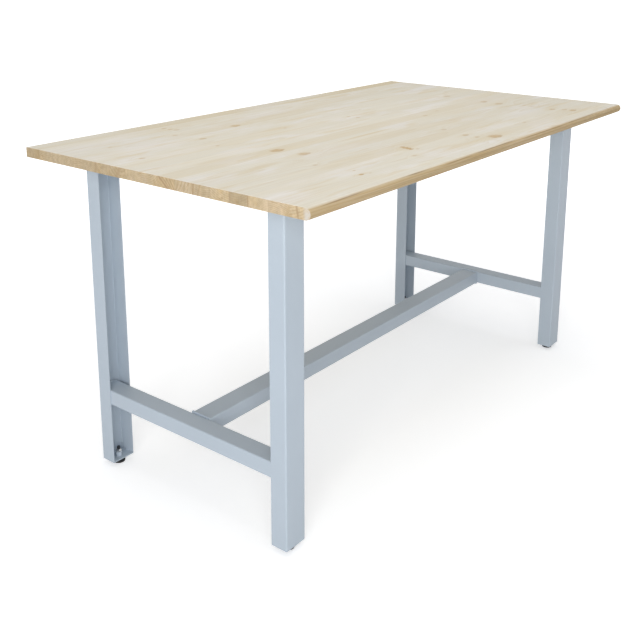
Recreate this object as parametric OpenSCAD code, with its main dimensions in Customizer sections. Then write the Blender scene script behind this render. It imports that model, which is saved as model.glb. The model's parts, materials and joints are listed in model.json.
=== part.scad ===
/* [Worktop] */
// Length of the worktop
top_l = 1600; // [1200:50:2000]
// Width of the worktop, front to back
top_w = 900; // [760:10:1000]
// Thickness of the worktop
top_t = 25; // [22:1:40]
// Number of glued staves across the worktop
stave_n = 17; // [12:1:18]
// Rounding along the upper edges that are not bullnosed
edge_ease = 1.5; // [0.5:0.1:3]

/* [Frame] */
// Height of the work surface above the floor
bench_h = 850; // [700:10:1000]
// Distance from each end of the worktop to the outside of the legs
leg_inset_x = 75; // [40:5:150]
// Distance from each long edge of the worktop to the outside of the legs
leg_inset_y = 130; // [60:5:200]
// Width of the leg channel, across its web
leg_w = 65; // [58:1:90]
// Depth of the leg channel, along its flanges
leg_d = 45; // [42:1:70]
// Sheet thickness of the leg channel
leg_t = 2; // [1.5:0.5:3]
// Inside radius of the folds in the leg channel
fold_r = 1.5; // [0.5:0.1:2]
// Thickness of the rail that carries the worktop
rail_t = 4; // [3:0.5:6]
// Gap left for the weld between pieces that are welded together
weld_gap = 0.2; // [0.1:0.05:0.4]

/* [Crossbars and stretcher] */
// Width of the crossbar tube
crossbar_w = 50; // [40:1:54]
// Height of the crossbar and stretcher tubes
tube_h = 40; // [30:1:60]
// Width of the stretcher tube
stretcher_w = 60; // [50:1:80]
// Wall thickness of the tubes
tube_t = 2; // [1.5:0.5:3]
// Inside corner radius of the tubes
tube_in_r = 1; // [0.5:0.1:2]
// Height of the underside of the crossbars above the floor
crossbar_z = 180; // [120:10:400]
// Thickness of the plates on the stretcher's ends
end_plate_t = 3; // [2:0.5:6]
// Height by which an end plate stands above and below the tube
plate_rise = 4; // [0:0.5:6]
// Distance between the two bolts in a stretcher end plate
bolt_pitch = 30; // [24:1:34]
// Length of the spanner slot under each end of the stretcher
slot_l = 60; // [40:5:100]
// Width of the spanner slot
slot_w = 40; // [28:1:44]
// Distance from the end plate to the spanner slot
slot_offset = 6; // [3:1:30]

/* [Fasteners] */
// Shank diameter of the stretcher bolts
bolt_d = 8; // [6:1:8]
// Length of the stretcher bolts under the head
bolt_l = 22; // [20:1:30]
// Width across the flats of the stretcher bolt heads
bolt_af = 13; // [11:1:14]
// Height of the stretcher bolt heads
bolt_head_h = 5.3; // [4:0.1:6]
// Outside diameter of the bolt washers
washer_d = 16; // [15:0.5:18]
// Thickness of the bolt washers
washer_t = 1.6; // [1:0.1:2.5]
// Barrel diameter of the rivet nuts
rivet_nut_d = 11; // [10:0.5:12]
// Length of the rivet nut barrel behind its flange
rivet_nut_l = 17; // [14:1:22]
// Flange diameter of the rivet nuts
rivet_flange_d = 16; // [14:0.5:18]
// Flange thickness of the rivet nuts
rivet_flange_t = 1; // [0.6:0.1:2]
// Shank diameter of the screws that hold the worktop
screw_d = 5; // [4:0.5:6]
// Length of those screws under the head
screw_l = 20; // [16:1:22]
// Head diameter of those screws
screw_head_d = 10; // [8:0.5:12]
// Head height of those screws
screw_head_h = 3; // [2:0.5:4]
// Number of screws in each rail
screw_n = 5; // [3:2:9]
// Distance from the back of a leg's web to the outer screws
screw_inset = 20; // [14:1:30]
// Radial clearance of a thread or a running fit
fit_gap = 0.05; // [0.02:0.01:0.1]
// Radial clearance of a drilled hole around a fastener
hole_gap = 0.5; // [0.3:0.1:1]

/* [Levelling feet] */
// How far the feet can be screwed out
foot_travel = 10; // [5:1:20]
// Length of stud that stays in the lock nut when a foot is screwed out
nut_grip = 3; // [2:0.5:6]
// Thickness of the plate that closes the foot of a leg
foot_plate_t = 3; // [2:0.5:6]
// Distance from the back of the leg's web to the levelling stud
stud_inset = 25; // [23:0.5:30]
// Diameter of the levelling stud
stud_d = 8; // [8:1:10]
// Width across the flats of the stud's spanner collar
collar_af = 13; // [12:0.5:16]
// Height of the stud's spanner collar
collar_h = 5.9; // [3:0.1:8]
// Diameter of the neck that turns in the pad
neck_d = 6.5; // [5:0.5:7.5]
// Outside diameter of the threaded sleeve
sleeve_d = 18; // [14:0.5:20]
// Height of the threaded sleeve
sleeve_h = 12; // [10:1:30]
// Width across the flats of the lock nut
lock_nut_af = 13; // [13:0.5:17]
// Height of the lock nut
lock_nut_h = 6.5; // [5:0.5:8]
// Diameter of the foot pad
pad_d = 32; // [26:1:40]
// Height of the foot pad
pad_h = 6.5; // [5:0.25:8]
// Rounding of the foot pad's upper edge
pad_round = 2; // [1:0.25:3]
// Standing gap between the collar and the parts above and below it
collar_gap = 0.3; // [0.2:0.05:0.5]

/* [Hidden] */
$fn = 48;
paint = [0.70, 0.75, 0.79];
zinc = [0.76, 0.77, 0.78];
black = [0.09, 0.09, 0.10];
pine = [0.85, 0.74, 0.56];

under_top = bench_h - top_t;
foot_gap = pad_h + collar_h + 2 * collar_gap;
leg_h = under_top - foot_gap;
leg_in_w = leg_w - 2 * leg_t;
frame_half_y = top_w / 2 - leg_inset_y;
left_x = -top_l / 2 + leg_inset_x;
right_x = top_l / 2 - leg_inset_x - leg_w;
stave_w = top_w / stave_n;
nose_r = top_t / 2;

crossbar_l = 2 * (frame_half_y - leg_t - fold_r - weld_gap);
crossbar_x = leg_t + weld_gap;
rail_w = leg_in_w - 2 * weld_gap;
rail_l = 2 * (frame_half_y - leg_t - fold_r - weld_gap);
rail_screw_span = 2 * (frame_half_y - screw_inset);

plate_gap = rivet_flange_t;
stretcher_x0 = left_x + crossbar_x + crossbar_w + plate_gap;
stretcher_x1 = right_x + crossbar_x - plate_gap;
tube_mid_z = crossbar_z + tube_h / 2;
tube_out_r = tube_in_r + tube_t;

sleeve_z = foot_gap + foot_plate_t;
lock_nut_z = sleeve_z + sleeve_h;
stud_top = lock_nut_z + nut_grip + foot_travel;
collar_top = foot_gap - collar_gap;
collar_z = collar_top - collar_h;
socket_depth = pad_h - 2;

SIDES = ["left", "right"];
ROWS = ["front", "back"];
CORNERS = [for (r = ROWS) for (s = SIDES) str(r, "_", s)];
FOOT_PARTS = ["leg", "foot_plate", "threaded_sleeve", "lock_nut", "levelling_stud", "foot_pad"];
END_PARTS = ["crossbar", "top_rail", "end_plate", "end_bolts", "end_washers", "rivet_nuts", "top_screws"];
STAVES = [for (i = [1:stave_n]) str("stave_", i < 10 ? "0" : "", i)];

// A rectangle with round corners, its lower left corner at the origin
module round_rect(w, h, r) {
    translate([r, 0]) square([w - 2 * r, h]);
    translate([0, r]) square([w, h - 2 * r]);
    for (x = [r, w - r], y = [r, h - r]) translate([x, y]) circle(r);
}

// The cross-section of a rectangular tube, its lower left corner at the origin
module tube_section(w, h) {
    difference() {
        round_rect(w, h, tube_out_r);
        translate([tube_t, tube_t]) round_rect(w - 2 * tube_t, h - 2 * tube_t, tube_in_r);
    }
}

// The cross-section of a folded leg: the web's outside lies on the X axis,
// and the flanges point along +Y
module channel_section() {
    outer_r = fold_r + leg_t;
    difference() {
        intersection() {
            round_rect(leg_w, leg_d + outer_r, outer_r);
            square([leg_w, leg_d]);
        }
        translate([leg_t, leg_t]) round_rect(leg_in_w, leg_d + outer_r, fold_r);
    }
}

// Turns and moves a leg's own frame to a corner of the bench. The leg's web
// looks outwards, and its X axis keeps pointing along the bench.
module at_corner(row, side) {
    x = side == "left" ? left_x : right_x;
    if (row == "front") translate([x, -frame_half_y, 0]) children();
    else translate([x, frame_half_y, 0]) mirror([0, 1, 0]) children();
}

module at_stud() {
    translate([leg_w / 2, stud_inset, 0]) children();
}

module hexagon_bar(af, h) {
    cylinder(d = af / cos(30), h = h, $fn = 6);
}

module worktop_blank() {
    intersection() {
        rotate([90, 0, 90])
            translate([0, 0, -top_l / 2]) linear_extrude(top_l) side_profile();
        rotate([90, 0, 0])
            translate([0, 0, -top_w / 2]) linear_extrude(top_w) end_profile();
    }
}

// The worktop seen from its end: round in front, eased at the back
module side_profile() {
    front = -top_w / 2;
    translate([front + nose_r, under_top + nose_r]) circle(nose_r, $fn = 96);
    translate([front + nose_r, under_top]) {
        square([top_w - nose_r - edge_ease, top_t]);
        square([top_w - nose_r, top_t - edge_ease]);
    }
    translate([top_w / 2 - edge_ease, bench_h - edge_ease]) circle(edge_ease);
}

// The worktop seen from the front: square ends with eased upper corners
module end_profile() {
    translate([-top_l / 2 + edge_ease, under_top]) square([top_l - 2 * edge_ease, top_t]);
    translate([-top_l / 2, under_top]) square([top_l, top_t - edge_ease]);
    for (s = [-1, 1])
        translate([s * (top_l / 2 - edge_ease), bench_h - edge_ease]) circle(edge_ease);
}

function rail_screws() =
    [for (i = [0:screw_n - 1]) -rail_screw_span / 2 + i * rail_screw_span / (screw_n - 1)];

module at_rail_screws(side) {
    x = (side == "left" ? left_x : right_x) + leg_w / 2;
    for (y = rail_screws()) translate([x, y, under_top]) children();
}

// One glued stave of the worktop, number 1 at the front
module stave(i) {
    y = -top_w / 2 + (i - 1) * stave_w;
    color(pine) difference() {
        intersection() {
            worktop_blank();
            translate([-top_l, y, under_top - 1]) cube([2 * top_l, stave_w, top_t + 2]);
        }
        for (s = SIDES) at_rail_screws(s)
            translate([0, 0, -1]) cylinder(r = screw_d / 2 + fit_gap, h = screw_l - rail_t + 2);
    }
}

module leg(row, side) {
    color(paint) at_corner(row, side)
        translate([0, 0, foot_gap]) linear_extrude(leg_h) channel_section();
}

// The bar that lies in the tops of two legs and carries the worktop
module top_rail(side) {
    x = (side == "left" ? left_x : right_x) + leg_t + weld_gap;
    color(paint) difference() {
        translate([x, -rail_l / 2, under_top - rail_t]) cube([rail_w, rail_l, rail_t]);
        at_rail_screws(side)
            translate([0, 0, -rail_t - 1]) cylinder(r = screw_d / 2 + hole_gap, h = rail_t + 2);
    }
}

module top_screws(side) {
    color(zinc) at_rail_screws(side) translate([0, 0, -rail_t]) wood_screw();
}

// A round-headed screw that points up, with its head under the origin
module wood_screw() {
    tip = screw_d;
    rotate_extrude() {
        square([screw_d / 2, screw_l - tip]);
        translate([0, screw_l - tip]) polygon([[0, 0], [screw_d / 2, 0], [0.3, tip], [0, tip]]);
        translate([0, -screw_head_h / 2]) square([screw_head_d / 2, screw_head_h / 2]);
        intersection() {
            translate([0, -screw_head_h]) square([screw_head_d / 2, screw_head_h]);
            translate([0, head_dome_r() - screw_head_h]) circle(head_dome_r(), $fn = 96);
        }
    }
}

// Radius of the dome that closes the lower half of a screw head
function head_dome_r() =
    (pow(screw_head_d / 2, 2) + pow(screw_head_h / 2, 2)) / screw_head_h;

module at_rivet_nuts(side) {
    wall_x = side == "left" ? left_x + crossbar_x + crossbar_w : right_x + crossbar_x;
    inwards = side == "left" ? -90 : 90;
    for (y = [-1, 1] * bolt_pitch / 2)
        translate([wall_x, y, tube_mid_z]) rotate([0, inwards, 0]) children();
}

module crossbar(side) {
    x = (side == "left" ? left_x : right_x) + crossbar_x;
    color(paint) difference() {
        translate([x, crossbar_l / 2, crossbar_z]) rotate([90, 0, 0])
            linear_extrude(crossbar_l) tube_section(crossbar_w, tube_h);
        at_rivet_nuts(side)
            translate([0, 0, -1]) cylinder(r = rivet_nut_d / 2 + fit_gap, h = tube_t + 2);
    }
}

// The threaded inserts in the crossbar's inner wall, with flanges outside it
module rivet_nuts(side) {
    color(zinc) at_rivet_nuts(side) difference() {
        union() {
            translate([0, 0, -rivet_flange_t]) cylinder(d = rivet_flange_d, h = rivet_flange_t);
            cylinder(d = rivet_nut_d, h = rivet_nut_l);
        }
        translate([0, 0, -rivet_flange_t - 1])
            cylinder(r = bolt_d / 2 + fit_gap, h = rivet_flange_t + rivet_nut_l + 2);
    }
}

module end_plate(side) {
    x = side == "left" ? stretcher_x0 : stretcher_x1 - end_plate_t;
    color(paint) difference() {
        translate([x, -stretcher_w / 2, crossbar_z - plate_rise]) rotate([90, 0, 90])
            linear_extrude(end_plate_t)
                round_rect(stretcher_w, tube_h + 2 * plate_rise, tube_out_r);
        at_rivet_nuts(side) translate([0, 0, -plate_gap - end_plate_t - 1])
            cylinder(r = bolt_d / 2 + hole_gap, h = end_plate_t + 2);
    }
}

module end_washers(side) {
    color(zinc) at_rivet_nuts(side)
        translate([0, 0, -plate_gap - end_plate_t - washer_t]) difference() {
            cylinder(d = washer_d, h = washer_t);
            translate([0, 0, -1]) cylinder(r = bolt_d / 2 + hole_gap / 2, h = washer_t + 2);
        }
}

// The hexagon bolts inside the stretcher, which screw into the rivet nuts
module end_bolts(side) {
    color(zinc) at_rivet_nuts(side)
        translate([0, 0, -plate_gap - end_plate_t - washer_t]) {
            cylinder(d = bolt_d, h = bolt_l);
            translate([0, 0, -bolt_head_h]) intersection() {
                hexagon_bar(bolt_af, bolt_head_h);
                cylinder(d1 = bolt_af * 0.95, d2 = bolt_af * 1.6, h = bolt_head_h);
            }
        }
}

// The tube between the end plates, with a spanner slot under each end
module centre_stretcher() {
    x0 = stretcher_x0 + end_plate_t;
    x1 = stretcher_x1 - end_plate_t;
    color(paint) difference() {
        translate([x0, -stretcher_w / 2, crossbar_z]) rotate([90, 0, 90])
            linear_extrude(x1 - x0) tube_section(stretcher_w, tube_h);
        for (x = [x0 + slot_offset + slot_w / 2, x1 - slot_offset - slot_l + slot_w / 2])
            translate([x, 0, crossbar_z - 1]) linear_extrude(tube_t + 2) {
                circle(d = slot_w);
                translate([slot_l - slot_w, 0]) circle(d = slot_w);
                translate([0, -slot_w / 2]) square([slot_l - slot_w, slot_w]);
            }
    }
}

// The plate that closes a leg's foot inside the channel
module foot_plate(row, side) {
    color(paint) at_corner(row, side) difference() {
        translate([leg_t + weld_gap, leg_t + weld_gap, foot_gap]) linear_extrude(foot_plate_t)
            intersection() {
                round_rect(leg_in_w - 2 * weld_gap, leg_d, fold_r);
                square([leg_in_w, leg_d - leg_t - weld_gap]);
            }
        at_stud() translate([0, 0, foot_gap - 1])
            cylinder(r = stud_d / 2 + hole_gap, h = foot_plate_t + 2);
    }
}

module threaded_sleeve(row, side) {
    color(paint) at_corner(row, side) at_stud() translate([0, 0, sleeve_z]) difference() {
        cylinder(d = sleeve_d, h = sleeve_h);
        translate([0, 0, -1]) cylinder(r = stud_d / 2 + fit_gap, h = sleeve_h + 2);
    }
}

module lock_nut(row, side) {
    bevel = (lock_nut_af / cos(30) - lock_nut_af) / 2;
    color(zinc) at_corner(row, side) at_stud() translate([0, 0, lock_nut_z]) difference() {
        intersection() {
            hexagon_bar(lock_nut_af, lock_nut_h);
            rotate_extrude() polygon([
                [0, 0],
                [lock_nut_af / 2, 0],
                [lock_nut_af / 2 + bevel, bevel / 2],
                [lock_nut_af / 2 + bevel, lock_nut_h - bevel / 2],
                [lock_nut_af / 2, lock_nut_h],
                [0, lock_nut_h]
            ]);
        }
        translate([0, 0, -1]) cylinder(r = stud_d / 2 + fit_gap, h = lock_nut_h + 2);
    }
}

// The stud: a chamfered end, the thread's outside, a spanner collar and a neck
module levelling_stud(row, side) {
    chamfer = stud_d / 8;
    color(black) at_corner(row, side) at_stud() {
        translate([0, 0, pad_h - socket_depth + collar_gap])
            cylinder(d = neck_d, h = collar_z - pad_h + socket_depth - collar_gap);
        translate([0, 0, collar_z]) hexagon_bar(collar_af, collar_h);
        translate([0, 0, collar_top]) cylinder(d = stud_d, h = stud_top - collar_top - chamfer);
        translate([0, 0, stud_top - chamfer])
            cylinder(d1 = stud_d, d2 = stud_d - 2 * chamfer, h = chamfer);
    }
}

// The pad, turned on a lathe-like outline, with a socket for the stud's neck
module foot_pad(row, side) {
    hub_r = neck_d / 2 + 5;
    rim_h = pad_h - 2;
    color(black) at_corner(row, side) at_stud() difference() {
        rotate_extrude() {
            square([hub_r, pad_h]);
            square([pad_d / 2 - pad_round, rim_h]);
            square([pad_d / 2, rim_h - pad_round]);
            translate([pad_d / 2 - pad_round, rim_h - pad_round]) circle(pad_round);
        }
        translate([0, 0, pad_h - socket_depth])
            cylinder(r = neck_d / 2 + fit_gap, h = socket_depth + 1);
    }
}

for (i = [1:stave_n])
    stave(i);

for (r = ROWS) for (s = SIDES) {
    c = str(r, "_", s);
    leg(r, s);
    foot_plate(r, s);
    threaded_sleeve(r, s);
    lock_nut(r, s);
    levelling_stud(r, s);
    foot_pad(r, s);
}

for (s = SIDES) {
    crossbar(s);
    top_rail(s);
    end_plate(s);
    end_bolts(s);
    end_washers(s);
    rivet_nuts(s);
    top_screws(s);
}

centre_stretcher();
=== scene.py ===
import json
import math
import random

import bmesh
import bpy
from mathutils import Matrix, Vector


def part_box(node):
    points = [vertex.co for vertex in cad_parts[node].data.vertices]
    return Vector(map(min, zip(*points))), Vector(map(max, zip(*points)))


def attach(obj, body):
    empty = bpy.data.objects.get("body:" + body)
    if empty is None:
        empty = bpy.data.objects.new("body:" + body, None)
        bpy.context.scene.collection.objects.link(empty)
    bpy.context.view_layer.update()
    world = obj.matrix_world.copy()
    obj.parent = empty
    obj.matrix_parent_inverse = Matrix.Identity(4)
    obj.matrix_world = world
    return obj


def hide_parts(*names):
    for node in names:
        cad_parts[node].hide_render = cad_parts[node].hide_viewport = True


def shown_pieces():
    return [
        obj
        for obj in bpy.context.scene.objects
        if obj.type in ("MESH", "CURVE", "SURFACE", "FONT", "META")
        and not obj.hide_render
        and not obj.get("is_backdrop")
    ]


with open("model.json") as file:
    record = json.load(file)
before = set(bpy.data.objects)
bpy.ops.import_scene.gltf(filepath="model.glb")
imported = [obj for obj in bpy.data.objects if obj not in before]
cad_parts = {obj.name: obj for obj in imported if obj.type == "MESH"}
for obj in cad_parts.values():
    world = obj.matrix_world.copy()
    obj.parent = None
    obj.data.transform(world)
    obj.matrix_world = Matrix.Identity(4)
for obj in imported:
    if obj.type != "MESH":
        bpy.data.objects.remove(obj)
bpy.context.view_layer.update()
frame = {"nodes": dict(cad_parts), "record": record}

# The photograph's frame, and the camera that was fitted to its straight edges
PHOTO_PX = 636
FOCAL_PX = 898.1
PRINCIPAL_PX = (340.0, 172.0)
CAMERA_AT = Vector((-2.0565, -1.4701, 1.3066))
CAMERA_YAW = 0.9226
CAMERA_PITCH = 0.2337
CAMERA_ROLL = 0.0071
SENSOR_MM = 36.0
CLIP_NEAR = 0.05
CLIP_FAR = 100.0

CORNERS = ["front_left", "front_right", "back_left", "back_right"]
SIDES = ["left", "right"]

# The worktop and its staves, counted from the front, where the bullnose is, and
# the seed of their random draws
TOP_LOW = Vector(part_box("stave_01")[0])
TOP_HIGH = Vector(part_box("stave_17")[1])
STAVE_COUNT = sum(1 for name in frame["nodes"] if name.startswith("stave_"))
STAVE_WIDTH = (TOP_HIGH.y - TOP_LOW.y) / STAVE_COUNT
TOP_MID_Z = (TOP_LOW.z + TOP_HIGH.z) / 2
FRONT_STAVE = 1
STAVE_SEED = 400

# Knots that show on the worktop: the photo's pixel, the diameter in metres
# and how dark the knot is
KNOTS_PX = [
    (235.0, 125.7, 0.026, 0.9), (202.5, 138.7, 0.016, 0.8), (217.5, 145.7, 0.009, 0.6),
    (163.5, 128.6, 0.012, 0.7), (170.0, 129.4, 0.014, 0.6), (176.0, 129.8, 0.014, 0.6),
    (175.0, 135.3, 0.013, 0.5), (141.7, 158.3, 0.014, 0.7), (110.0, 147.2, 0.011, 0.5),
    (276.7, 150.3, 0.030, 1.0), (303.3, 153.7, 0.028, 0.8), (285.0, 128.0, 0.008, 0.6),
    (315.0, 165.0, 0.012, 0.5), (348.3, 116.7, 0.012, 0.5), (357.5, 117.5, 0.012, 0.6),
    (361.0, 174.4, 0.0105, 1.4), (354.0, 170.5, 0.007, 0.7), (370.0, 173.0, 0.006, 0.6),
    (401.8, 147.0, 0.012, 1.2), (404.8, 147.7, 0.014, 1.3), (407.8, 148.4, 0.014, 1.3),
    (410.8, 149.1, 0.012, 1.2), (417.5, 148.8, 0.009, 0.6), (414.0, 155.5, 0.011, 0.6),
    (425.0, 115.5, 0.014, 0.5), (436.7, 110.8, 0.012, 0.4), (446.7, 96.2, 0.022, 0.6),
    (443.3, 129.5, 0.016, 0.5), (465.0, 135.0, 0.018, 0.8), (477.0, 137.0, 0.014, 0.6),
    (494.2, 136.2, 0.036, 1.0), (524.2, 122.3, 0.010, 0.5), (483.3, 101.7, 0.022, 0.7),
    (498.3, 103.7, 0.026, 0.7), (524.0, 105.5, 0.012, 0.4), (531.7, 106.2, 0.014, 0.4),
    (551.7, 109.2, 0.020, 0.8), (564.0, 109.6, 0.016, 0.6), (572.5, 110.2, 0.022, 0.9),
]

# Soft patches on the worktop: the photo's pixel, then the length and the width
# in metres, and how strong each is
CHALKY_PX = [
    (146.0, 146.0, 0.20, 0.070, 0.8), (265.0, 114.0, 0.30, 0.060, 0.7),
    (245.0, 149.5, 0.16, 0.050, 0.8), (350.0, 147.0, 0.15, 0.060, 0.8),
    (200.0, 179.0, 0.12, 0.060, 0.8), (287.0, 198.0, 0.12, 0.080, 1.3),
    (487.0, 100.0, 0.25, 0.060, 0.7), (483.0, 130.0, 0.10, 0.040, 0.6),
    (525.0, 112.0, 0.20, 0.070, 0.6), (80.0, 148.0, 0.20, 0.080, 0.7),
]
HONEYED_PX = [
    (152.0, 126.0, 0.22, 0.030, 0.8), (276.0, 129.0, 0.16, 0.035, 0.7),
    (365.0, 135.0, 0.22, 0.012, 1.3), (318.0, 97.0, 0.50, 0.025, 1.0),
    (333.0, 166.0, 0.12, 0.040, 0.5), (215.0, 161.0, 0.16, 0.030, 0.6),
    (300.0, 118.0, 0.20, 0.020, 0.6), (420.0, 100.0, 0.30, 0.025, 0.5),
]

# Staves that stand out in the photo: the heart of the rings across and above
# the stave's middle, the ring width, the tone of the end, the tone of the
# whole stave and how honey-coloured it is
RING_NOTES = {
    1: {"heart": (0.030, 0.052), "ring": 0.0062, "end": 1.02, "tone": 1.01},
    2: {"end": 1.03},
    3: {"end": 1.05},
    4: {"heart": (0.010, 0.060), "ring": 0.0048, "end": 0.83},
    5: {"end": 1.06},
    6: {"end": 0.95},
    7: {"heart": (0.095, 0.036), "ring": 0.0105, "end": 1.00},
    8: {"heart": (0.034, -0.026), "ring": 0.0072, "end": 1.02},
    11: {"heart": (-0.012, 0.030), "ring": 0.0090, "end": 0.94},
    12: {"end": 0.96},
    13: {"heart": (0.020, -0.070), "ring": 0.0040, "end": 0.97},
    17: {"tone": 0.972, "honey": 1.2},
}

# Dark lines on the ends of the staves: where each crosses the upper and the
# lower face, its width in metres and how dark it is
END_LINES = {
    1: [(-0.4155, -0.4200, 0.0045, 0.7)],
    4: [(-0.2895, -0.2900, 0.0030, 0.7), (-0.2420, -0.2405, 0.0040, 0.4)],
    6: [(-0.1370, -0.1335, 0.0032, 0.9), (-0.1560, -0.1480, 0.0036, 0.5)],
    7: [
        (-0.0960, -0.0840, 0.0018, 0.5), (-0.1040, -0.0900, 0.0018, 0.5),
        (-0.1140, -0.0980, 0.0020, 0.5), (-0.1240, -0.1060, 0.0020, 0.4),
    ],
    8: [
        (-0.0290, -0.0590, 0.0062, 0.9), (-0.0410, -0.0665, 0.0028, 0.8),
        (-0.0520, -0.0725, 0.0026, 0.7), (-0.0640, -0.0785, 0.0026, 0.7),
    ],
    11: [(0.0965, 0.1110, 0.0105, 0.5)],
    12: [(0.1815, 0.1822, 0.0050, 0.5)],
}

# Small dark spots on the ends of the staves: the place across the bench and
# above the floor, the diameter and how dark the spot is
END_SPOTS = {
    3: [(-0.3500, 0.8350, 0.0075, 0.6)],
    5: [(-0.2193, 0.8323, 0.0055, 0.6), (-0.2120, 0.8290, 0.0040, 0.4)],
    16: [(0.3843, 0.8369, 0.0050, 0.6)],
}

# Dark grain lines along the bullnose: from and to along the bench, the angle
# above the level at each end, the width in degrees and how dark the line is
NOSE_LINES = [
    (-0.800, -0.570, 42, 58, 11, 0.9), (-0.520, -0.330, 62, 54, 11, 1.0),
    (-0.360, -0.120, 34, 54, 11, 0.6), (-0.200, 0.100, 52, 60, 11, 1.0),
    (-0.300, 0.050, 12, 14, 8, 0.3), (0.050, 0.420, 42, 38, 10, 0.6),
    (0.330, 0.640, 44, 56, 9, 0.6), (-0.150, 0.780, 8, -6, 7, 0.2),
    (-0.700, -0.300, 14, 2, 6, 0.3),
]

# The pine's colours, on the faces, in the knots and on the ends and edges
PINE_PALE = (0.734, 0.688, 0.582)
PINE_CHALK = (0.776, 0.742, 0.690)
PINE_HONEY = (0.684, 0.592, 0.424)
PINE_LATE = (0.600, 0.485, 0.320)
END_LATE = (0.405, 0.275, 0.158)
KNOT_CORE = (0.440, 0.280, 0.130)
KNOT_RIM = (0.620, 0.460, 0.270)
END_TONE = (0.78, 0.67, 0.51)
# The long edges' tone: their own darker, warmer side grain, with painted shade added
EDGE_GRAIN_AND_SHADE = (0.72, 0.60, 0.43)
BLEACHED = (0.640, 0.608, 0.556)
NOSE_LATE = (0.260, 0.170, 0.085)

# The bullnose: how strong its lines are, how far they fade at their ends, how
# many degrees they waver, their least width in degrees, and the painted light
# that brightens the wood from one place along the bench to another
NOSE_DEPTH = 0.85
NOSE_FADE = 0.09
NOSE_WAVER = 8.0
NOSE_THINNEST = 0.5
NOSE_PAINTED_LIGHT = (-0.4, 0.4, 1.0, 1.10)
NOSE_RADIUS = (TOP_HIGH.z - TOP_LOW.z) / 2

# How often the noises of the grain repeat in a metre along, across and up
WANDER_GRAIN = (1.3, 5.0, 5.0)
FIBRE_GRAIN = (9.0, 620.0, 620.0)
STREAK_GRAIN = (2.2, 70.0, 70.0)
SPECK_GRAIN = (40.0, 500.0, 500.0)
BLOTCH_GRAIN = (10.0, 105.0, 90.0)
FRAY_GRAIN = (60.0, 110.0, 20.0)
KNOT_GRAIN = (150.0, 420.0, 1.0)
CLOUD_GRAIN = (5.0, 15.0, 15.0)
DRIFT_GRAIN = (4.0, 26.0, 26.0)

# How far a face has to be turned to begin to count, and to count in full, as
# an end or as an edge of the worktop
END_FACING = (0.55, 0.90)
EDGE_FACING = (0.15, 0.75)

# The rings: how far they wander along a stave, and how each one darkens from
# the pale spring wood to the late wood
RING_WANDER = 0.017
RING_PROFILE = [(0.0, 0.0), (0.45, 0.10), (0.80, 0.55), (0.93, 1.0), (1.0, 0.05)]

# The share of its length to which a knot is squeezed to make it round, the
# same for its halo, how ragged it is and how fast the rings bend back behind it
KNOT_SQUEEZE = 0.66
HALO_SQUEEZE = 0.26
KNOT_FRAY = 0.45
RING_BEND = -0.16

# Where the parts of a knot begin and where they are full, in radii, and where
# its near side begins, as a share of its width
CORE_FADE = (1.15, 0.30)
HALO_FADE = (1.9, 0.5)
RIM_RISE = (0.35, 0.75)
RIM_FALL = (1.15, 0.85)
RIM_SIDE = (0.12, -0.30)

# A soft patch: how ragged it is, and where it begins and is full, in halves of
# its size
PATCH_FRAY = 0.6
PATCH_FADE = (1.5, 0.2)

# How far past a stave's edge the knots and the patches still show on it
KNOT_REACH = 0.02
PATCH_REACH = 0.07

# How a noise or a place turns into the strength of a layer: its own range, then
# that of the strength where it isn't the stave's own
CHALK_BY_CLOUD = (0.47, 0.66, 0.0, 0.75)
HONEY_BY_DRIFT = (0.52, 0.70, 0.0, 0.70)
HONEY_BY_WANDER = (0.40, 0.62)
RINGS_BY_STREAK = (0.35, 0.62, 0.10, 0.36)
RINGS_BY_BLOTCH = (0.65, 0.35, 0.25, 0.80)
BLEACH_BY_PLACE = (-0.006, -0.016, 0.0, 0.80)
BLEACH_BY_BLOTCH = (0.62, 0.42, 0.55, 1.0)

# The fine lines in a knot: the range of their noise, and how far they go from
# the colour of its core to that of its rim
KNOT_LINES = (0.35, 0.65)
KNOT_TINT = (0.40, 0.85)

# How far each noise darkens and lightens the wood
FIBRE_SHADE = 0.05
STREAK_SHADE = 0.06
SPECK_SHADE = (-0.25, 0.05)
BLOTCH_SHADE = (-0.16, 0.34)

# How strongly each layer is mixed into the wood
EDGE_RINGS = 0.50
HALO_MIX = 0.45
CORE_MIX = 0.80
RIM_MIX = 0.40
GLUE_ON_END = 0.30
GLUE_ON_FACE = 0.06

# The waver of the lines on the ends: how fine it is, and how wide in metres
END_WOBBLE_SCALE = 160.0
END_WOBBLE = 0.002

# The gloss of the wood between and on the rings, what the sawn end adds to it,
# and the heights of its relief
PINE_ROUGH = (0.86, 0.78)
END_ROUGH = 0.08
FIBRE_HEIGHT = 0.55
RING_HEIGHT = 0.45
SAWN_HEIGHT = 0.8

# The dark line of glue on the ends: where it begins to show, and where it is
# full, from the seam
GLUE_EDGE = 0.0010
GLUE_FULL = 0.0002

# The metals and the plastic: the colour, how far it varies and how rough it is
COAT_COLOUR = (0.460, 0.527, 0.594)
COAT_CLOUD = (0.95, 1.05)
COAT_SPECK = (-0.03, 0.03)
COAT_ROUGH = (0.34, 0.50)
ZINC_COLOUR = (0.62, 0.63, 0.64)
ZINC_SPANGLE = (0.90, 1.08)
ZINC_ROUGH = (0.24, 0.44)
SPANGLE_SCALE = 700.0
BLACK_STEEL_COLOUR = (0.016, 0.016, 0.018)
BLACK_PLASTIC_COLOUR = (0.012, 0.012, 0.013)
BLACK_CLOUD = (0.65, 1.35)
BLACK_ROUGHER = 0.25

# The levelling studs, and the share of the thread's depth that is cut off flat
# at its crest and root
STUD_RADIUS = 0.004
NECK_RADIUS = 0.00325
STAND_GAP = 0.0003
COLLAR_CHAMFER = 0.0006
THREAD_PITCH = 0.00125
THREAD_DEPTH = 0.0007
THREAD_FLAT = 0.15
ROWS_PER_TURN = 8

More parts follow.
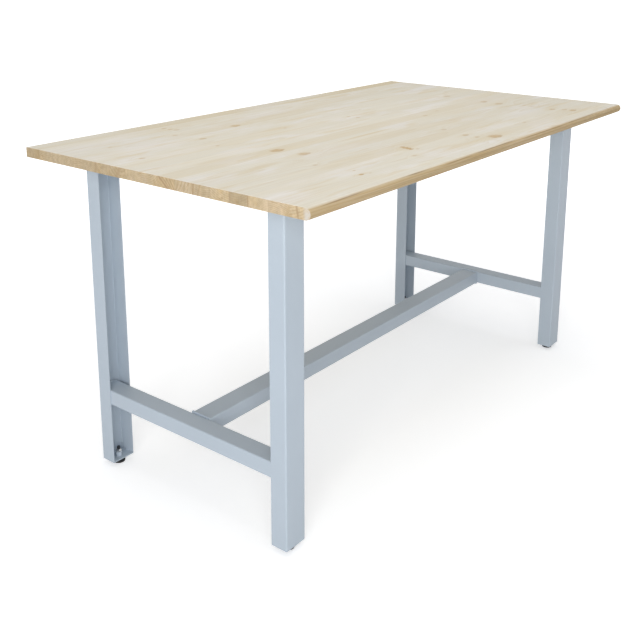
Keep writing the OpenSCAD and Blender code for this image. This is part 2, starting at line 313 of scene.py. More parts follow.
# The screws under the worktop. The draft is the share to which the star recess
# narrows at the foot of its wall
HEAD_RADIUS = 0.005
SCREW_RADIUS = 0.0025
STAR_RADIUS = 0.0022
STAR_WAVE = 0.00035
STAR_POINTS = 6
RECESS_DEPTH = 0.0016
RECESS_WALL = 0.0014
RECESS_EASE = 0.0001
RECESS_POINT = 0.0006
RECESS_DRAFT = 0.9
TIP_RADIUS = 0.0003
SCREWS_IN_RAIL = 5

# The weld beads: the length of one scale, how fast the ends taper, and the tip,
# waist, swell and unevenness as shares of the radius
BEAD_RADIUS = 0.0016
BEAD_SCALE = 0.0034
BEAD_SIDES = 10
BEAD_TAPER = 6.0
BEAD_TIP = 0.02
BEAD_WAIST = 0.84
BEAD_SWELL = 0.12
BEAD_UNEVEN = 0.05
ROWS_PER_SCALE = 6

# Where the frame is welded: the bar, the side of it, and how far the bead
# stops short of the bar's corners
WELDED_SEAMS = [
    ("crossbar", "over", 0.004),
    ("crossbar", "under", 0.004),
    ("top_rail", "under", 0.006),
]

# The domed screw head from its recess outwards: the share of its radius and
# of its height
HEAD_DOME = [(0.52, 0.0), (0.70, 0.09), (0.86, 0.22), (0.96, 0.38), (1.0, 0.50)]

# The sides of round pieces, the sharpest angle that is still a curve, and
# how many times larger than its neighbour a face is when it is a flat
ROUND_SIDES = 48
CURVE_LIMIT = math.radians(32)
FLAT_SHARE = 12

# The floor: half its side, how far it lies below the pads, its grey, and its
# glow at a near and at a far distance from the bench
FLOOR_HALF = 30.0
FLOOR_DROP = 0.0005
FLOOR_GREY = 0.86
GLOW_NEAR = (1.0, 0.44)
GLOW_FAR = (3.5, 1.0)

# The even light of the room, then each soft light: its place, its size in
# metres and its power in watts, and the point that all of them face
WORLD_COLOUR = (0.97, 0.99, 1.03)
WORLD_LEVEL = 0.385
LIGHTS = {
    "key_softbox": ((-3.3, -2.2, 1.5), 2.2, 88.0),
    "overhead_softbox": ((0.0, 0.0, 4.0), 3.0, 63.5),
}
LIGHT_TARGET = Vector((0.0, 0.0, 0.45))


def camera_axes():
    """The camera's right, up and forward directions in the part's frame."""
    sin_yaw, cos_yaw = math.sin(CAMERA_YAW), math.cos(CAMERA_YAW)
    forward = Vector((
        sin_yaw * math.cos(CAMERA_PITCH),
        cos_yaw * math.cos(CAMERA_PITCH),
        -math.sin(CAMERA_PITCH),
    ))
    level_right = Vector((cos_yaw, -sin_yaw, 0.0))
    level_up = level_right.cross(forward)
    sin_roll, cos_roll = math.sin(CAMERA_ROLL), math.cos(CAMERA_ROLL)
    right = level_right * cos_roll + level_up * sin_roll
    up = level_up * cos_roll - level_right * sin_roll
    return right, up, forward


def make_camera():
    """The photo's camera, with a lens shift for its principal point."""
    right, up, forward = camera_axes()
    data = bpy.data.cameras.new("camera")
    camera = bpy.data.objects.new("camera", data)
    bpy.context.scene.collection.objects.link(camera)
    data.sensor_width = SENSOR_MM
    data.lens = FOCAL_PX / PHOTO_PX * SENSOR_MM
    data.shift_x = (PHOTO_PX / 2 - PRINCIPAL_PX[0]) / PHOTO_PX
    data.shift_y = (PRINCIPAL_PX[1] - PHOTO_PX / 2) / PHOTO_PX
    data.clip_start = CLIP_NEAR
    data.clip_end = CLIP_FAR
    rotation = Matrix((right, up, -forward)).transposed()
    camera.matrix_world = Matrix.Translation(CAMERA_AT) @ rotation.to_4x4()
    bpy.context.scene.camera = camera


def on_worktop(pixel_x, pixel_y):
    """The point of the worktop's upper face that the photo shows at a pixel."""
    right, up, forward = camera_axes()
    ray = (
        forward
        + right * ((pixel_x - PRINCIPAL_PX[0]) / FOCAL_PX)
        - up * ((pixel_y - PRINCIPAL_PX[1]) / FOCAL_PX)
    )
    return CAMERA_AT + ray * ((TOP_HIGH.z - CAMERA_AT.z) / ray.z)


class Shader:
    """A material's node tree, with short calls for the nodes used most."""

    def __init__(self, name):
        self.material = bpy.data.materials.new(name)
        self.material.use_nodes = True
        self.tree = self.material.node_tree
        self.surface = self.tree.nodes["Principled BSDF"]
        coordinates = self.tree.nodes.new("ShaderNodeTexCoord")
        self.at = coordinates.outputs["Object"]
        self.facing = coordinates.outputs["Normal"]

    def put(self, socket, value):
        if isinstance(value, bpy.types.NodeSocket):
            self.tree.links.new(value, socket)
        elif value is not None:
            socket.default_value = (*value, 1.0) if socket.type == "RGBA" else value

    def math(self, operation, a, b=None, c=None):
        node = self.tree.nodes.new("ShaderNodeMath")
        node.operation = operation
        for socket, value in zip(node.inputs, (a, b, c)):
            self.put(socket, value)
        return node.outputs[0]

    def between(self, value, low, high):
        """From low to high as a value goes from 0 to 1."""
        return self.math("MULTIPLY_ADD", value, high - low, low)

    def vector(self, operation, a, b=None):
        node = self.tree.nodes.new("ShaderNodeVectorMath")
        node.operation = operation
        self.put(node.inputs[0], a)
        self.put(node.inputs[1], b)
        return node.outputs["Value" if operation == "LENGTH" else "Vector"]

    def scale(self, vector, factor):
        node = self.tree.nodes.new("ShaderNodeVectorMath")
        node.operation = "SCALE"
        self.put(node.inputs[0], vector)
        self.put(node.inputs["Scale"], factor)
        return node.outputs["Vector"]

    def split(self, vector):
        node = self.tree.nodes.new("ShaderNodeSeparateXYZ")
        self.put(node.inputs[0], vector)
        return node.outputs

    def join(self, x, y, z):
        node = self.tree.nodes.new("ShaderNodeCombineXYZ")
        for socket, value in zip(node.inputs, (x, y, z)):
            self.put(socket, value)
        return node.outputs[0]

    def noise(self, vector, scale=1.0, detail=2.0, roughness=0.5, colour=False):
        node = self.tree.nodes.new("ShaderNodeTexNoise")
        self.put(node.inputs["Vector"], vector)
        node.inputs["Scale"].default_value = scale
        node.inputs["Detail"].default_value = detail
        node.inputs["Roughness"].default_value = roughness
        return node.outputs["Color" if colour else "Fac"]

    def remap(self, value, low, high, to_low=0.0, to_high=1.0, smooth=True):
        node = self.tree.nodes.new("ShaderNodeMapRange")
        node.interpolation_type = "SMOOTHSTEP" if smooth else "LINEAR"
        for socket, given in zip(node.inputs, (value, low, high, to_low, to_high)):
            self.put(socket, given)
        return node.outputs["Result"]

    def mix(self, factor, a, b, blend="MIX"):
        node = self.tree.nodes.new("ShaderNodeMix")
        node.data_type = "RGBA"
        node.blend_type = blend
        self.put(node.inputs["Factor"], factor)
        self.put(node.inputs["A"], a)
        self.put(node.inputs["B"], b)
        return node.outputs["Result"]

    def ramp(self, value, stops):
        node = self.tree.nodes.new("ShaderNodeValToRGB")
        self.put(node.inputs[0], value)
        elements = node.color_ramp.elements
        while len(elements) < len(stops):
            elements.new(0.5)
        for element, (position, level) in zip(elements, stops):
            element.position = position
            element.color = (level, level, level, 1.0)
        return node.outputs["Color"]

    def bump(self, height, strength, distance):
        node = self.tree.nodes.new("ShaderNodeBump")
        node.inputs["Strength"].default_value = strength
        node.inputs["Distance"].default_value = distance
        self.put(node.inputs["Height"], height)
        return node.outputs["Normal"]

    def set(self, **sockets):
        """Sets the surface's sockets by name, with _ for each space."""
        for name, value in sockets.items():
            self.put(self.surface.inputs[name.replace("_", " ")], value)


def stave_centre(index):
    """The middle of a stave across the bench."""
    return TOP_LOW.y + (index - 0.5) * STAVE_WIDTH


def ring_layout(index):
    """Where a stave was cut from its log, the same on every run."""
    draw = random.Random(STAVE_SEED + index)
    heart = (draw.uniform(-0.035, 0.035), draw.choice((-1, 1)) * draw.uniform(0.03, 0.10))
    layout = {
        "heart": heart,
        "ring": draw.uniform(0.0030, 0.0052),
        "end": draw.uniform(0.93, 1.03),
        "tilt": draw.uniform(-0.012, 0.012),
        "tone": draw.uniform(0.980, 1.015),
        "honey": draw.uniform(0.05, 0.45),
        "shift": Vector([draw.uniform(0.0, 40.0) for _ in range(3)]),
    }
    layout.update(RING_NOTES.get(index, {}))
    return layout


class Pine(Shader):
    """The wood of one stave: a solid block of growth rings."""

    def __init__(self, index):
        super().__init__("pine_%02d" % index)
        self.index = index
        self.cut = ring_layout(index)
        self.x, self.y, self.z = self.split(self.at)
        self.across = self.math("SUBTRACT", self.y, stave_centre(index))
        self.shifted = self.vector("ADD", self.at, self.cut["shift"])
        facing_x, facing_y = self.split(self.facing)[:2]
        self.on_end = self.remap(self.math("ABSOLUTE", facing_x), *END_FACING)
        self.on_edge = self.remap(self.math("ABSOLUTE", facing_y), *EDGE_FACING)
        self.wander = self.split(self.grain(WANDER_GRAIN, colour=True))
        self.fibre = self.grain(FIBRE_GRAIN)
        self.streak = self.grain(STREAK_GRAIN, detail=3.0)
        self.speck = self.grain(SPECK_GRAIN)
        self.blotch = self.grain(BLOTCH_GRAIN, detail=3.0, roughness=0.6)

    def grain(self, stretch, **settings):
        """Noise drawn out along the bench, different on each stave."""
        return self.noise(self.vector("MULTIPLY", self.shifted, stretch), **settings)

    def cloud(self, stretch):
        """Noise that runs on from one stave to the next."""
        stretched = self.vector("MULTIPLY", self.at, stretch)
        return self.noise(stretched, detail=4.0, roughness=0.6)

    def from_heart(self):
        """The distance to the log's heart, which wanders along the stave."""
        heart_y, heart_z = self.cut["heart"]
        above = self.math("SUBTRACT", self.z, TOP_MID_Z)
        ring_y = self.between(self.wander[0], -RING_WANDER - heart_y, RING_WANDER - heart_y)
        ring_z = self.between(self.wander[1], -RING_WANDER - heart_z, RING_WANDER - heart_z)
        ring_y = self.math("ADD", ring_y, self.across)
        ring_z = self.math("ADD", ring_z, above)
        ring_z = self.math("MULTIPLY_ADD", self.x, self.cut["tilt"], ring_z)
        return self.vector("LENGTH", self.join(ring_y, ring_z, 0.0))

    def from_knot(self, step_x, step_y, squeeze, size):
        """The distance to a knot, in radii of the oval that it makes."""
        squeezed = self.math("MULTIPLY", step_x, squeeze)
        away = self.vector("LENGTH", self.join(squeezed, step_y, 0.0))
        return self.math("DIVIDE", away, size / 2)

    def add_knots(self, knots):
        """Draws the rings, bent round each knot, and the knots' three parts:
        the core, the honey-coloured halo and the dark rim on the near side."""
        radius = self.from_heart()
        fray = self.between(self.grain(FRAY_GRAIN), -KNOT_FRAY, KNOT_FRAY)
        self.core, self.halo, self.rim = 0.0, 0.0, 0.0
        for spot, size, depth in knots:
            step_x = self.math("SUBTRACT", self.x, spot.x)
            step_y = self.math("SUBTRACT", self.y, spot.y)
            reach = self.math("ADD", self.from_knot(step_x, step_y, KNOT_SQUEEZE, size), fray)
            tail = self.from_knot(step_x, step_y, HALO_SQUEEZE, size)
            squared = self.math("MULTIPLY", reach, reach)
            bend = self.math("POWER", math.e, self.math("MULTIPLY", squared, RING_BEND))
            radius = self.math("MULTIPLY_ADD", bend, size / 2, radius)
            self.core = self.math("MAXIMUM", self.core, self.remap(reach, *CORE_FADE, 0.0, depth))
            self.halo = self.math("MAXIMUM", self.halo, self.remap(tail, *HALO_FADE, 0.0, depth))
            rises = self.remap(reach, *RIM_RISE)
            falls = self.remap(reach, *RIM_FALL, 0.0, depth)
            near_side = self.remap(self.math("DIVIDE", step_y, size), *RIM_SIDE)
            line = self.math("MULTIPLY", self.math("MULTIPLY", rises, falls), near_side)
            self.rim = self.math("MAXIMUM", self.rim, line)
        phase = self.math("FRACT", self.math("DIVIDE", radius, self.cut["ring"]))
        self.rings = self.ramp(phase, RING_PROFILE)

    def soft_patch(self, ragged, patches):
        """How far a point lies in any of the soft patches, with frayed edges."""
        total = 0.0
        for spot, length, width, strength in patches:
            step_x = self.math("DIVIDE", self.math("SUBTRACT", self.x, spot.x), length / 2)
            step_y = self.math("DIVIDE", self.math("SUBTRACT", self.y, spot.y), width / 2)
            away = self.vector("LENGTH", self.join(step_x, step_y, 0.0))
            away = self.math("ADD", away, self.between(ragged, -PATCH_FRAY, PATCH_FRAY))
            inside = self.remap(away, *PATCH_FADE, 0.0, strength)
            total = self.math("MAXIMUM", total, inside)
        return total

    def soft_mark(self, away, width, depth):
        """A mark that is full to a quarter of its width and gone at three."""
        return self.remap(away, width * 0.75, width * 0.25, 0.0, depth)

    def end_marks(self):
        """The dark lines and spots of the end grain."""
        total = 0.0
        wobble = self.noise(self.at, scale=END_WOBBLE_SCALE)
        wobble = self.between(wobble, -END_WOBBLE, END_WOBBLE)
        across = self.math("ADD", self.y, wobble)
        fall = self.remap(self.z, TOP_HIGH.z, TOP_LOW.z, smooth=False)
        for upper, lower, width, depth in END_LINES.get(self.index, []):
            line = self.between(fall, upper, lower)
            away = self.math("ABSOLUTE", self.math("SUBTRACT", across, line))
            total = self.math("MAXIMUM", total, self.soft_mark(away, width, depth))
        for spot_y, spot_z, size, depth in END_SPOTS.get(self.index, []):
            step_y = self.math("SUBTRACT", across, spot_y)
            step_z = self.math("SUBTRACT", self.z, spot_z)
            away = self.vector("LENGTH", self.join(step_y, step_z, 0.0))
            total = self.math("MAXIMUM", total, self.soft_mark(away, size, depth))
        return total

    def nose_marks(self):
        """The dark grain lines along the bullnose, which waver with the grain."""
        out = self.math("SUBTRACT", TOP_LOW.y + NOSE_RADIUS, self.y)
        above = self.math("SUBTRACT", self.z, TOP_MID_Z)
        waver = self.between(self.streak, -NOSE_WAVER, NOSE_WAVER)
        angle = self.math("ARCTAN2", above, out)
        angle = self.math("MULTIPLY_ADD", angle, math.degrees(1.0), waver)
        total = 0.0
        for start, stop, from_angle, to_angle, width, depth in NOSE_LINES:
            line = self.remap(self.x, start, stop, from_angle, to_angle, smooth=False)
            away = self.math("ABSOLUTE", self.math("SUBTRACT", angle, line))
            begins = self.remap(self.x, start, start + NOSE_FADE)
            ends = self.remap(self.x, stop, stop - NOSE_FADE)
            taper = self.math("MULTIPLY", begins, ends)
            reach = self.math("MULTIPLY_ADD", taper, width, NOSE_THINNEST)
            inside = self.remap(self.math("DIVIDE", away, reach), 1.0, 0.2, 0.0, depth)
            total = self.math("MAXIMUM", total, self.math("MULTIPLY", inside, taper))
        return total

    def ground_colour(self, chalky, honeyed):
        """The wood between the rings: pale, chalky or honey-coloured."""
        cloud = self.cloud(CLOUD_GRAIN)
        drift = self.cloud(DRIFT_GRAIN)
        chalk = self.remap(cloud, *CHALK_BY_CLOUD)
        chalk = self.math("MAXIMUM", chalk, self.soft_patch(cloud, chalky))
        honey = self.remap(self.wander[2], *HONEY_BY_WANDER, 0.0, self.cut["honey"])
        honey = self.math("MAXIMUM", honey, self.remap(drift, *HONEY_BY_DRIFT))
        honey = self.math("MAXIMUM", honey, self.soft_patch(drift, honeyed))
        ground = self.mix(chalk, PINE_PALE, PINE_CHALK)
        return self.mix(honey, ground, PINE_HONEY)

    def face_colour(self, ground):
        """The planed face: rings, fibres and streaks, and the knots on them."""
        tone = self.cut["tone"]
        strength = self.remap(self.streak, *RINGS_BY_STREAK)
        strength = self.math("MULTIPLY_ADD", self.on_edge, EDGE_RINGS, strength)
        colour = self.mix(self.math("MULTIPLY", self.rings, strength), ground, PINE_LATE)
        shade = self.between(self.fibre, tone - FIBRE_SHADE, tone + FIBRE_SHADE)
        shine = self.between(self.streak, -STREAK_SHADE, STREAK_SHADE)
        shade = self.math("ADD", shade, shine)
        colour = self.scale(colour, shade)
        colour = self.mix(self.math("MULTIPLY", self.halo, HALO_MIX), colour, PINE_HONEY)
        grain = self.remap(self.grain(KNOT_GRAIN, detail=3.0), *KNOT_LINES)
        knot = self.mix(self.between(grain, *KNOT_TINT), KNOT_CORE, KNOT_RIM)
        colour = self.mix(self.math("MULTIPLY", self.core, CORE_MIX), colour, knot)
        return self.mix(self.math("MULTIPLY", self.rim, RIM_MIX), colour, KNOT_CORE)

    def end_colour(self, face, glue):
        """The sawn end, which drinks light and shows each ring."""
        tone = self.cut["end"]
        shade = self.between(self.speck, tone + SPECK_SHADE[0], tone + SPECK_SHADE[1])
        shade = self.math("ADD", shade, self.between(self.blotch, *BLOTCH_SHADE))
        colour = self.scale(self.mix(1.0, face, END_TONE, "MULTIPLY"), shade)
        depth = self.remap(self.blotch, *RINGS_BY_BLOTCH)
        colour = self.mix(self.math("MULTIPLY", self.rings, depth), colour, END_LATE)
        colour = self.mix(self.end_marks(), colour, END_LATE)
        colour = self.mix(self.math("MULTIPLY", glue, GLUE_ON_END), colour, END_LATE)
        if self.index == FRONT_STAVE:
            bleached = self.remap(self.across, *BLEACH_BY_PLACE)
            patchy = self.remap(self.blotch, *BLEACH_BY_BLOTCH)
            colour = self.mix(self.math("MULTIPLY", bleached, patchy), colour, BLEACHED)
        return colour

    def edge_colour(self, colour):
        """The long edges, darkened by their side grain and by painted shade, with the lines of
        the bullnose and its painted light on the front one.
        """
        # Painted shade on the long edges, together with their own darker side grain
        edge = self.mix(1.0, colour, EDGE_GRAIN_AND_SHADE, "MULTIPLY")
        if self.index == FRONT_STAVE:
            # Painted light: the bullnose brightens by up to a tenth from x = -0.4 m to x = 0.4 m
            edge = self.scale(edge, self.remap(self.x, *NOSE_PAINTED_LIGHT))
            lines = self.math("MULTIPLY", self.nose_marks(), NOSE_DEPTH)
            edge = self.mix(lines, edge, NOSE_LATE)
            self.on_edge = self.math("MAXIMUM", self.on_edge, lines)
        return self.mix(self.on_edge, colour, edge)

    def set_surface(self, colour):
        """Sets the colour, the dull gloss and the relief of the grain."""
        rough = self.between(self.rings, *PINE_ROUGH)
        rough = self.math("MULTIPLY_ADD", self.on_end, END_ROUGH, rough)
        sawn = self.math("MULTIPLY", self.speck, self.on_end)
        height = self.math("MULTIPLY", self.fibre, FIBRE_HEIGHT)
        height = self.math("MULTIPLY_ADD", self.rings, RING_HEIGHT, height)
        height = self.math("MULTIPLY_ADD", sawn, SAWN_HEIGHT, height)
        relief = self.bump(height, strength=0.35, distance=0.0003)
        self.set(Base_Color=colour, Roughness=rough, Normal=relief, Specular_IOR_Level=0.15)


def pine(index, knots, chalky, honeyed):
    """The material of one stave."""
    wood = Pine(index)
    wood.add_knots(knots)
    face = wood.face_colour(wood.ground_colour(chalky, honeyed))
    from_seam = wood.math("ABSOLUTE", wood.across)
    glue = wood.remap(from_seam, STAVE_WIDTH / 2 - GLUE_EDGE, STAVE_WIDTH / 2 - GLUE_FULL)
    end = wood.end_colour(face, glue)
    face = wood.mix(wood.math("MULTIPLY", glue, GLUE_ON_FACE), face, PINE_LATE)
    colour = wood.mix(wood.on_end, face, end)
    wood.set_surface(wood.edge_colour(colour))
    return wood.material


def near_stave(index, marks, reach):
    """The marks whose middle lies on a stave or within reach of it."""
    limit = STAVE_WIDTH / 2 + reach
    return [mark for mark in marks if abs(mark[0].y - stave_centre(index)) < limit]


def dress_staves():
    """Gives each stave its own wood, with the knots and patches near it."""
    knots = [(on_worktop(u, v), *rest) for u, v, *rest in KNOTS_PX]
    chalky = [(on_worktop(u, v), *rest) for u, v, *rest in CHALKY_PX]
    honeyed = [(on_worktop(u, v), *rest) for u, v, *rest in HONEYED_PX]
    for index in range(1, STAVE_COUNT + 1):
        near_knots = near_stave(index, knots, KNOT_REACH)
        near_chalk = near_stave(index, chalky, PATCH_REACH)
        near_honey = near_stave(index, honeyed, PATCH_REACH)
        dress("stave_%02d" % index, pine(index, near_knots, near_chalk, near_honey))


def dress(node, material):
    """Puts one material on the whole of a node."""
    for slot in frame["nodes"][node].material_slots:
        slot.material = material


def powder_coat():
    """Semi-gloss paint with the fine orange peel of a baked powder."""
    s = Shader("powder_coat")
    cloud = s.between(s.noise(s.at, scale=5.0, detail=3.0), *COAT_CLOUD)
    speck = s.between(s.noise(s.at, scale=900.0), *COAT_SPECK)
    colour = s.scale(COAT_COLOUR, s.math("ADD", cloud, speck))
    rough = s.between(s.noise(s.at, scale=60.0, detail=3.0), *COAT_ROUGH)
    peel = s.noise(s.at, scale=420.0, roughness=0.6)
    relief = s.bump(peel, strength=0.25, distance=0.0004)
    s.set(Base_Color=colour, Roughness=rough, Normal=relief, Specular_IOR_Level=0.5)
    return s.material


def zinc():
    """Bright zinc plate with its cloudy crystals."""
    s = Shader("zinc")
    crystals = s.tree.nodes.new("ShaderNodeTexVoronoi")
    s.put(crystals.inputs["Vector"], s.at)
    crystals.inputs["Scale"].default_value = SPANGLE_SCALE
    spangle = s.split(crystals.outputs["Color"])[0]
    colour = s.scale(ZINC_COLOUR, s.between(spangle, *ZINC_SPANGLE))
    rough = s.between(s.noise(s.at, scale=250.0, detail=3.0), *ZINC_ROUGH)
    relief = s.bump(s.noise(s.at, scale=1500.0), strength=0.2, distance=0.0001)
    s.set(Base_Color=colour, Metallic=1.0, Roughness=rough, Normal=relief)
    return s.material


def black_finish(name, colour, smoothest, grain_scale):
    """Black oxide or moulded plastic: near black, with a fine grain."""
    s = Shader(name)
    cloud = s.noise(s.at, scale=90.0, detail=3.0)
    dark = s.scale(colour, s.between(cloud, *BLACK_CLOUD))
    rough = s.between(cloud, smoothest, smoothest + BLACK_ROUGHER)
    relief = s.bump(s.noise(s.at, scale=grain_scale), strength=0.3, distance=0.0002)
    s.set(Base_Color=dark, Roughness=rough, Normal=relief)
    return s.material


def dress_metal(finishes):
    """Gives each node the finish of its material slot in the record."""
    for part in frame["record"]["subparts"]:
        if part["material_slot"] in finishes:
            dress(part["node"], finishes[part["material_slot"]])


def mesh_piece(name, build, material, body):
    """A piece of the object from a bmesh, with its material and its body."""
    mesh = bpy.data.meshes.new(name)
    work = bmesh.new()
    build(work)
    bmesh.ops.recalc_face_normals(work, faces=work.faces)
    work.to_mesh(mesh)
    work.free()
    mesh.materials.append(material)
    piece = bpy.data.objects.new(name, mesh)
    bpy.context.scene.collection.objects.link(piece)
    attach(piece, body)
    return piece


def skin(work, rings):
    """Joins rings of points into a closed tube."""
    for lower, upper in zip(rings, rings[1:]):
        for k in range(len(lower)):
            after = (k + 1) % len(lower)
            work.faces.new((lower[k], lower[after], upper[after], upper[k]))
    work.faces.new(rings[0][::-1])
    work.faces.new(rings[-1])


def stack(work, axis, levels, sides):
    """Skins a stack of rings. Each level is a height and a radius, which may
    be a function of the angle round the axis."""
    rings = []
    for height, radius in levels:
        ring = []
        for k in range(sides):
            angle = 2 * math.pi * k / sides
            reach = radius(angle) if callable(radius) else radius
            ring.append(work.verts.new((
                axis[0] + reach * math.cos(angle),
                axis[1] + reach * math.sin(angle),
                height,
            )))
        rings.append(ring)
    skin(work, rings)


def hexagon(across_flats, limit):
    """The radius of a hexagon by angle, its corners turned down to a limit."""
    def radius(angle):
        from_flat = angle % (math.pi / 3) - math.pi / 6
        return min(across_flats / 2 / math.cos(from_flat), limit)
    return radius


def thread(radius, height):
    """The radius of a screw thread by angle, at one height. The flanks are cut
    off flat at the crest and at the root."""
    def reach(angle):
        phase = (height / THREAD_PITCH - angle / (2 * math.pi)) % 1.0
        peak = 1.0 - abs(2.0 * phase - 1.0)
        flank = (1.0 + 2.0 * THREAD_FLAT) * peak - THREAD_FLAT
        return radius - THREAD_DEPTH * (1.0 - min(1.0, max(0.0, flank)))
    return reach


def make_stud(corner, material):
    """The levelling stud with its thread, in the space of its plain solid."""
    node = "levelling_stud_" + corner
    low, high = (Vector(c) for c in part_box(node))
    axis = (low + high) / 2
    across_flats = high.y - low.y
    collar_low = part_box("foot_pad_" + corner)[1][2] + STAND_GAP
    collar_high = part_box("leg_" + corner)[0][2] - STAND_GAP
    turned = hexagon(across_flats, across_flats / 2)
    full = hexagon(across_flats, across_flats / math.sqrt(3))
    core = STUD_RADIUS - THREAD_DEPTH
    levels = [
        (low.z, NECK_RADIUS),
        (collar_low, NECK_RADIUS),
        (collar_low, turned),
        (collar_low + COLLAR_CHAMFER, full),
        (collar_high - COLLAR_CHAMFER, full),
        (collar_high, turned),
        (collar_high, core),
    ]
    rows = round((high.z - collar_high) / THREAD_PITCH * ROWS_PER_TURN)
    for row in range(1, rows):
        height = collar_high + (high.z - collar_high) * row / rows
        levels.append((height, thread(STUD_RADIUS, height)))
    levels.append((high.z, core))
    piece = mesh_piece(
        "threaded_stud_" + corner,
        lambda work: stack(work, axis, levels, ROUND_SIDES),
        material, "stud_" + corner,
    )
    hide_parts(node)


def star(angle):
    """The outline of the star recess in a screw head."""
    return STAR_RADIUS + STAR_WAVE * math.cos(STAR_POINTS * angle)


def make_top_screws(side, material):
    """The five screws under a rail, with domed heads and a star recess."""
    node = "top_screws_" + side
    low, high = (Vector(c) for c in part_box(node))
    across = (low.x + high.x) / 2
    first = low.y + HEAD_RADIUS
    spacing = (high.y - low.y - 2 * HEAD_RADIUS) / (SCREWS_IN_RAIL - 1)
    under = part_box("top_rail_" + side)[0][2]
    levels = [
        (low.z + RECESS_DEPTH, RECESS_POINT),
        (low.z + RECESS_WALL, lambda angle: star(angle) * RECESS_DRAFT),
        (low.z + RECESS_EASE, star),
    ]
    for wide, deep in HEAD_DOME:
        levels.append((low.z + deep * (under - low.z), wide * HEAD_RADIUS))
    levels += [
        (under, HEAD_RADIUS),
        (under, SCREW_RADIUS),
        (high.z - 2 * SCREW_RADIUS, SCREW_RADIUS),
        (high.z, TIP_RADIUS),
    ]

    def build(work):
        for number in range(SCREWS_IN_RAIL):
            stack(work, (across, first + number * spacing), levels, ROUND_SIDES)

    piece = mesh_piece("star_screws_" + side, build, material, "bench")
    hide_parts(node)


def weld_bead(name, start, end, material):
    """A short weld: overlapping scales laid along a level seam, which taper
    off at both ends."""
    along = (end - start).normalized()
    up = Vector((0.0, 0.0, 1.0))
    side = along.cross(up)
    length = (end - start).length
    rows = int(length / BEAD_SCALE * ROWS_PER_SCALE)
    draw = random.Random(name)

    def build(work):
        rings = []
        for row in range(rows + 1):
            at = row / rows
            scale = abs(math.sin(math.pi * at * length / BEAD_SCALE))
            taper = min(1.0, BEAD_TAPER * min(at, 1.0 - at) + BEAD_TIP)
            swell = BEAD_WAIST + BEAD_SWELL * scale + draw.uniform(0.0, BEAD_UNEVEN)
            size = BEAD_RADIUS * taper * swell
            centre = start + along * (length * at)
            ring = []
            for k in range(BEAD_SIDES):
                angle = 2 * math.pi * k / BEAD_SIDES
                offset = up * math.cos(angle) + side * math.sin(angle)
                ring.append(work.verts.new(centre + offset * size))
            rings.append(ring)
        skin(work, rings)

    mesh_piece(name, build, material, "bench")


def make_welds(material):
    """Beads where the crossbars and the rails meet the legs."""
    for corner in CORNERS:
        row, side = corner.split("_")
        for bar, seam, inset in WELDED_SEAMS:
            low, high = (Vector(c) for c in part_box(bar + "_" + side))
            seam_y = low.y if row == "front" else high.y
            seam_z = high.z if seam == "over" else low.z
            start = Vector((low.x + inset, seam_y, seam_z))
            end = Vector((high.x - inset, seam_y, seam_z))
            weld_bead("weld_%s_%s_%s" % (bar, seam, corner), start, end, material)


def smooth_curves():
    """Shades the fine facets of curved faces as one, and keeps flats flat."""
    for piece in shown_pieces():
        work = bmesh.new()
        work.from_mesh(piece.data)
        sharp = []
        for edge in work.edges:
            areas = [face.calc_area() for face in edge.link_faces]
            curved = len(areas) == 2 and edge.calc_face_angle(math.pi) < CURVE_LIMIT
            sharp.append(not curved or max(areas) > FLAT_SHARE * min(areas))
        work.free()
        marks = piece.data.attributes.get("sharp_edge")
        if marks is None:
            marks = piece.data.attributes.new("sharp_edge", "BOOLEAN", "EDGE")
        marks.data.foreach_set("value", sharp)
        piece.data.polygons.foreach_set("use_smooth", [True] * len(piece.data.polygons))


def looked_at(tree):
    """1 where the camera sees a surface, also in a gloss or through glass."""
    path = tree.nodes.new("ShaderNodeLightPath")
    seen = path.outputs["Is Camera Ray"]
    for kind in ("Is Glossy Ray", "Is Transmission Ray"):
        either = tree.nodes.new("ShaderNodeMath")
        either.operation = "MAXIMUM"
        tree.links.new(seen, either.inputs[0])
        tree.links.new(path.outputs[kind], either.inputs[1])
        seen = either.outputs[0]
    return seen


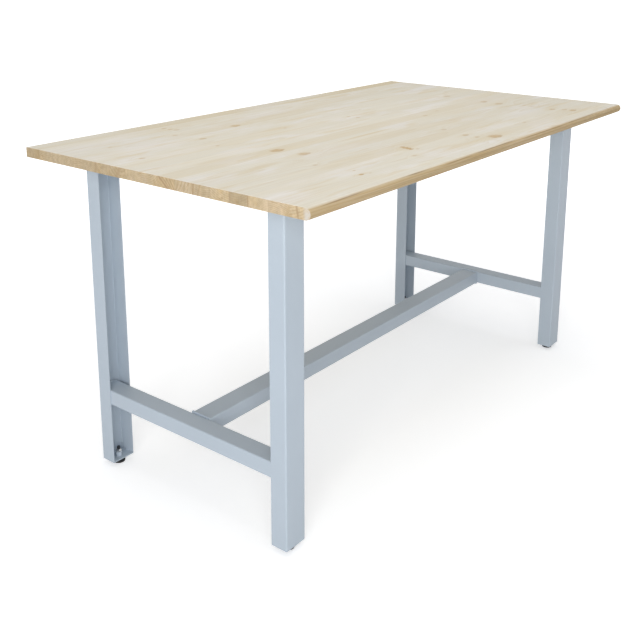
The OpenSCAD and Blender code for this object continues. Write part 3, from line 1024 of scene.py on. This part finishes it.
def make_floor():
    """A plain pale floor that keeps the bench's shadow and turns white away
    from it, wherever it is looked at."""
    near, far = -FLOOR_HALF, FLOOR_HALF
    mesh = bpy.data.meshes.new("floor")
    corners = [(near, near, 0), (far, near, 0), (far, far, 0), (near, far, 0)]
    mesh.from_pydata(corners, [], [(0, 1, 2, 3)])
    floor = bpy.data.objects.new("floor", mesh)
    bpy.context.scene.collection.objects.link(floor)
    floor.location.z = -FLOOR_DROP
    s = Shader("floor")
    grey = (FLOOR_GREY, FLOOR_GREY, FLOOR_GREY)
    s.set(Base_Color=grey, Roughness=0.9, Specular_IOR_Level=0.0)
    away = s.vector("LENGTH", s.at)
    glow = s.remap(away, GLOW_NEAR[0], GLOW_FAR[0], GLOW_NEAR[1], GLOW_FAR[1])
    glow = s.math("MULTIPLY", looked_at(s.tree), glow)
    s.set(Emission_Color=(1.0, 1.0, 1.0), Emission_Strength=glow)
    mesh.materials.append(s.material)
    floor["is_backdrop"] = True


def make_world():
    """Even light on the object, and plain white wherever it is looked at."""
    world = bpy.data.worlds.new("studio")
    bpy.context.scene.world = world
    world.use_nodes = True
    tree = world.node_tree
    light = tree.nodes["Background"]
    light.inputs["Color"].default_value = (*WORLD_COLOUR, 1.0)
    light.inputs["Strength"].default_value = WORLD_LEVEL
    white = tree.nodes.new("ShaderNodeBackground")
    white.inputs["Color"].default_value = (1.0, 1.0, 1.0, 1.0)
    choose = tree.nodes.new("ShaderNodeMixShader")
    tree.links.new(looked_at(tree), choose.inputs[0])
    tree.links.new(light.outputs[0], choose.inputs[1])
    tree.links.new(white.outputs[0], choose.inputs[2])
    tree.links.new(choose.outputs[0], tree.nodes["World Output"].inputs["Surface"])


def make_lights():
    """The square softboxes, all turned towards the bench."""
    for name, (place, size, power) in LIGHTS.items():
        data = bpy.data.lights.new(name, "AREA")
        data.shape = "SQUARE"
        data.size = size
        data.energy = power
        light = bpy.data.objects.new(name, data)
        light.location = place
        light.rotation_mode = "QUATERNION"
        towards = LIGHT_TARGET - Vector(place)
        light.rotation_quaternion = towards.to_track_quat("-Z", "Y")
        bpy.context.scene.collection.objects.link(light)


make_camera()
make_world()
make_lights()
make_floor()

coat = powder_coat()
plate = zinc()
oxide = black_finish("black_oxide", BLACK_STEEL_COLOUR, smoothest=0.28, grain_scale=500.0)
plastic = black_finish("black_plastic", BLACK_PLASTIC_COLOUR, smoothest=0.45, grain_scale=900.0)
dress_staves()
dress_metal({
    "powder_coat": coat,
    "zinc": plate,
    "black_steel": oxide,
    "black_plastic": plastic,
})
for corner_name in CORNERS:
    make_stud(corner_name, oxide)
for side_name in SIDES:
    make_top_screws(side_name, plate)
make_welds(coat)
smooth_curves()

bpy.context.scene.view_settings.view_transform = "Standard"
